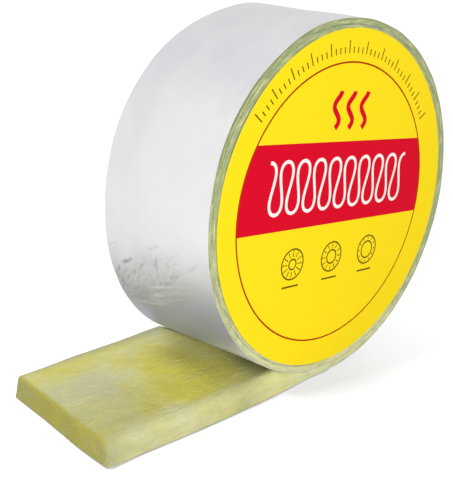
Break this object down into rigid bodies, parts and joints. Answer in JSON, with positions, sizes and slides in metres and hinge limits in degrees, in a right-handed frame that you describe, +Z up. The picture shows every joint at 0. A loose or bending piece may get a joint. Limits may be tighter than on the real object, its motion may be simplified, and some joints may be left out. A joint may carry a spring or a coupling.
{
  "type": "insulation roll",
  "caption": "Roll of foil-faced glass wool pipe wrap on its round side, its loose end run out flat as a short tail, with a round paper label on one end.",
  "frame": {"origin": "on the floor, in the middle of the whole part's length and width", "axes": "+X along the part's length, away from the tail's cut end; +Y along the roll's axis, away from the label; +Z up"},
  "size_m": [0.2364, 0.0764, 0.1861],
  "materials": {
    "glass_wool": "soft matted glass fibre, yellow-green",
    "foil": "satin foil on kraft paper",
    "label_paper": "coated printed paper, yellow with a red band"
  },
  "bodies": {
    "root": {"glass_wool": "glass_wool", "tail_wool": "glass_wool", "foil_facing": "foil", "label": "label_paper"}
  },
  "joints": []
}
